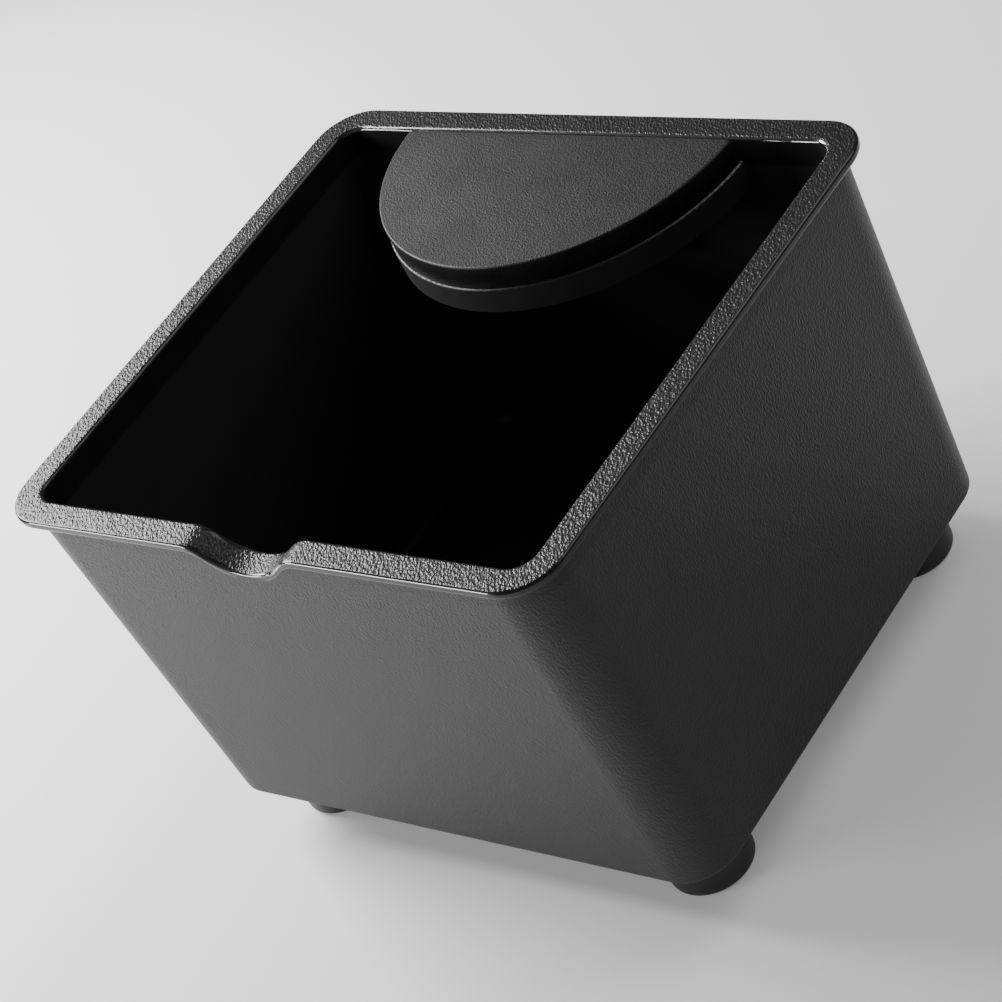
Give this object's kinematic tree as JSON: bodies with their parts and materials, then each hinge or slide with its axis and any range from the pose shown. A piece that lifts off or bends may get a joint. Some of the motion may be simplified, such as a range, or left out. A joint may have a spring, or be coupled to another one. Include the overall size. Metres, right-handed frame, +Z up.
{
  "type": "espresso knock box",
  "caption": "Tapered bin for spent coffee grounds with a flanged rim, a notch for a portafilter neck, a lift-out half-round knock block at the rear and round rubber feet.",
  "frame": {"origin": "under the middle of the bin, on the plane that the feet stand on", "axes": "+X to the right seen from the notch, +Y towards the knock block, +Z up"},
  "size_m": [0.1604, 0.1448, 0.116],
  "materials": {
    "bin_plastic": "black moulded plastic, fine vertical grain on the walls, pebbled grain on the rim",
    "carrier_plastic": "black moulded plastic, plain satin",
    "pad_rubber": "black soft rubber with a fine sanded grain on top",
    "foot_rubber": "black rubber, matte",
    "fastener_steel": "bright zinc-plated steel"
  },
  "bodies": {
    "bin": {"bin_body": "bin_plastic", "foot_front_left": "foot_rubber", "foot_front_right": "foot_rubber", "foot_rear_left": "foot_rubber", "foot_rear_right": "foot_rubber", "foot_washer_front_left": "fastener_steel", "foot_washer_front_right": "fastener_steel", "foot_washer_rear_left": "fastener_steel", "foot_washer_rear_right": "fastener_steel", "foot_screw_front_left": "fastener_steel", "foot_screw_front_right": "fastener_steel", "foot_screw_rear_left": "fastener_steel", "foot_screw_rear_right": "fastener_steel"},
    "knock_block": {"block_carrier": "carrier_plastic", "knock_pad": "pad_rubber"}
  },
  "joints": [
    {"name": "block_lift", "type": "slide", "parent": "bin", "child": "knock_block", "axis": [0, 0, 1], "range_m": [0, 0.045]}
  ]
}
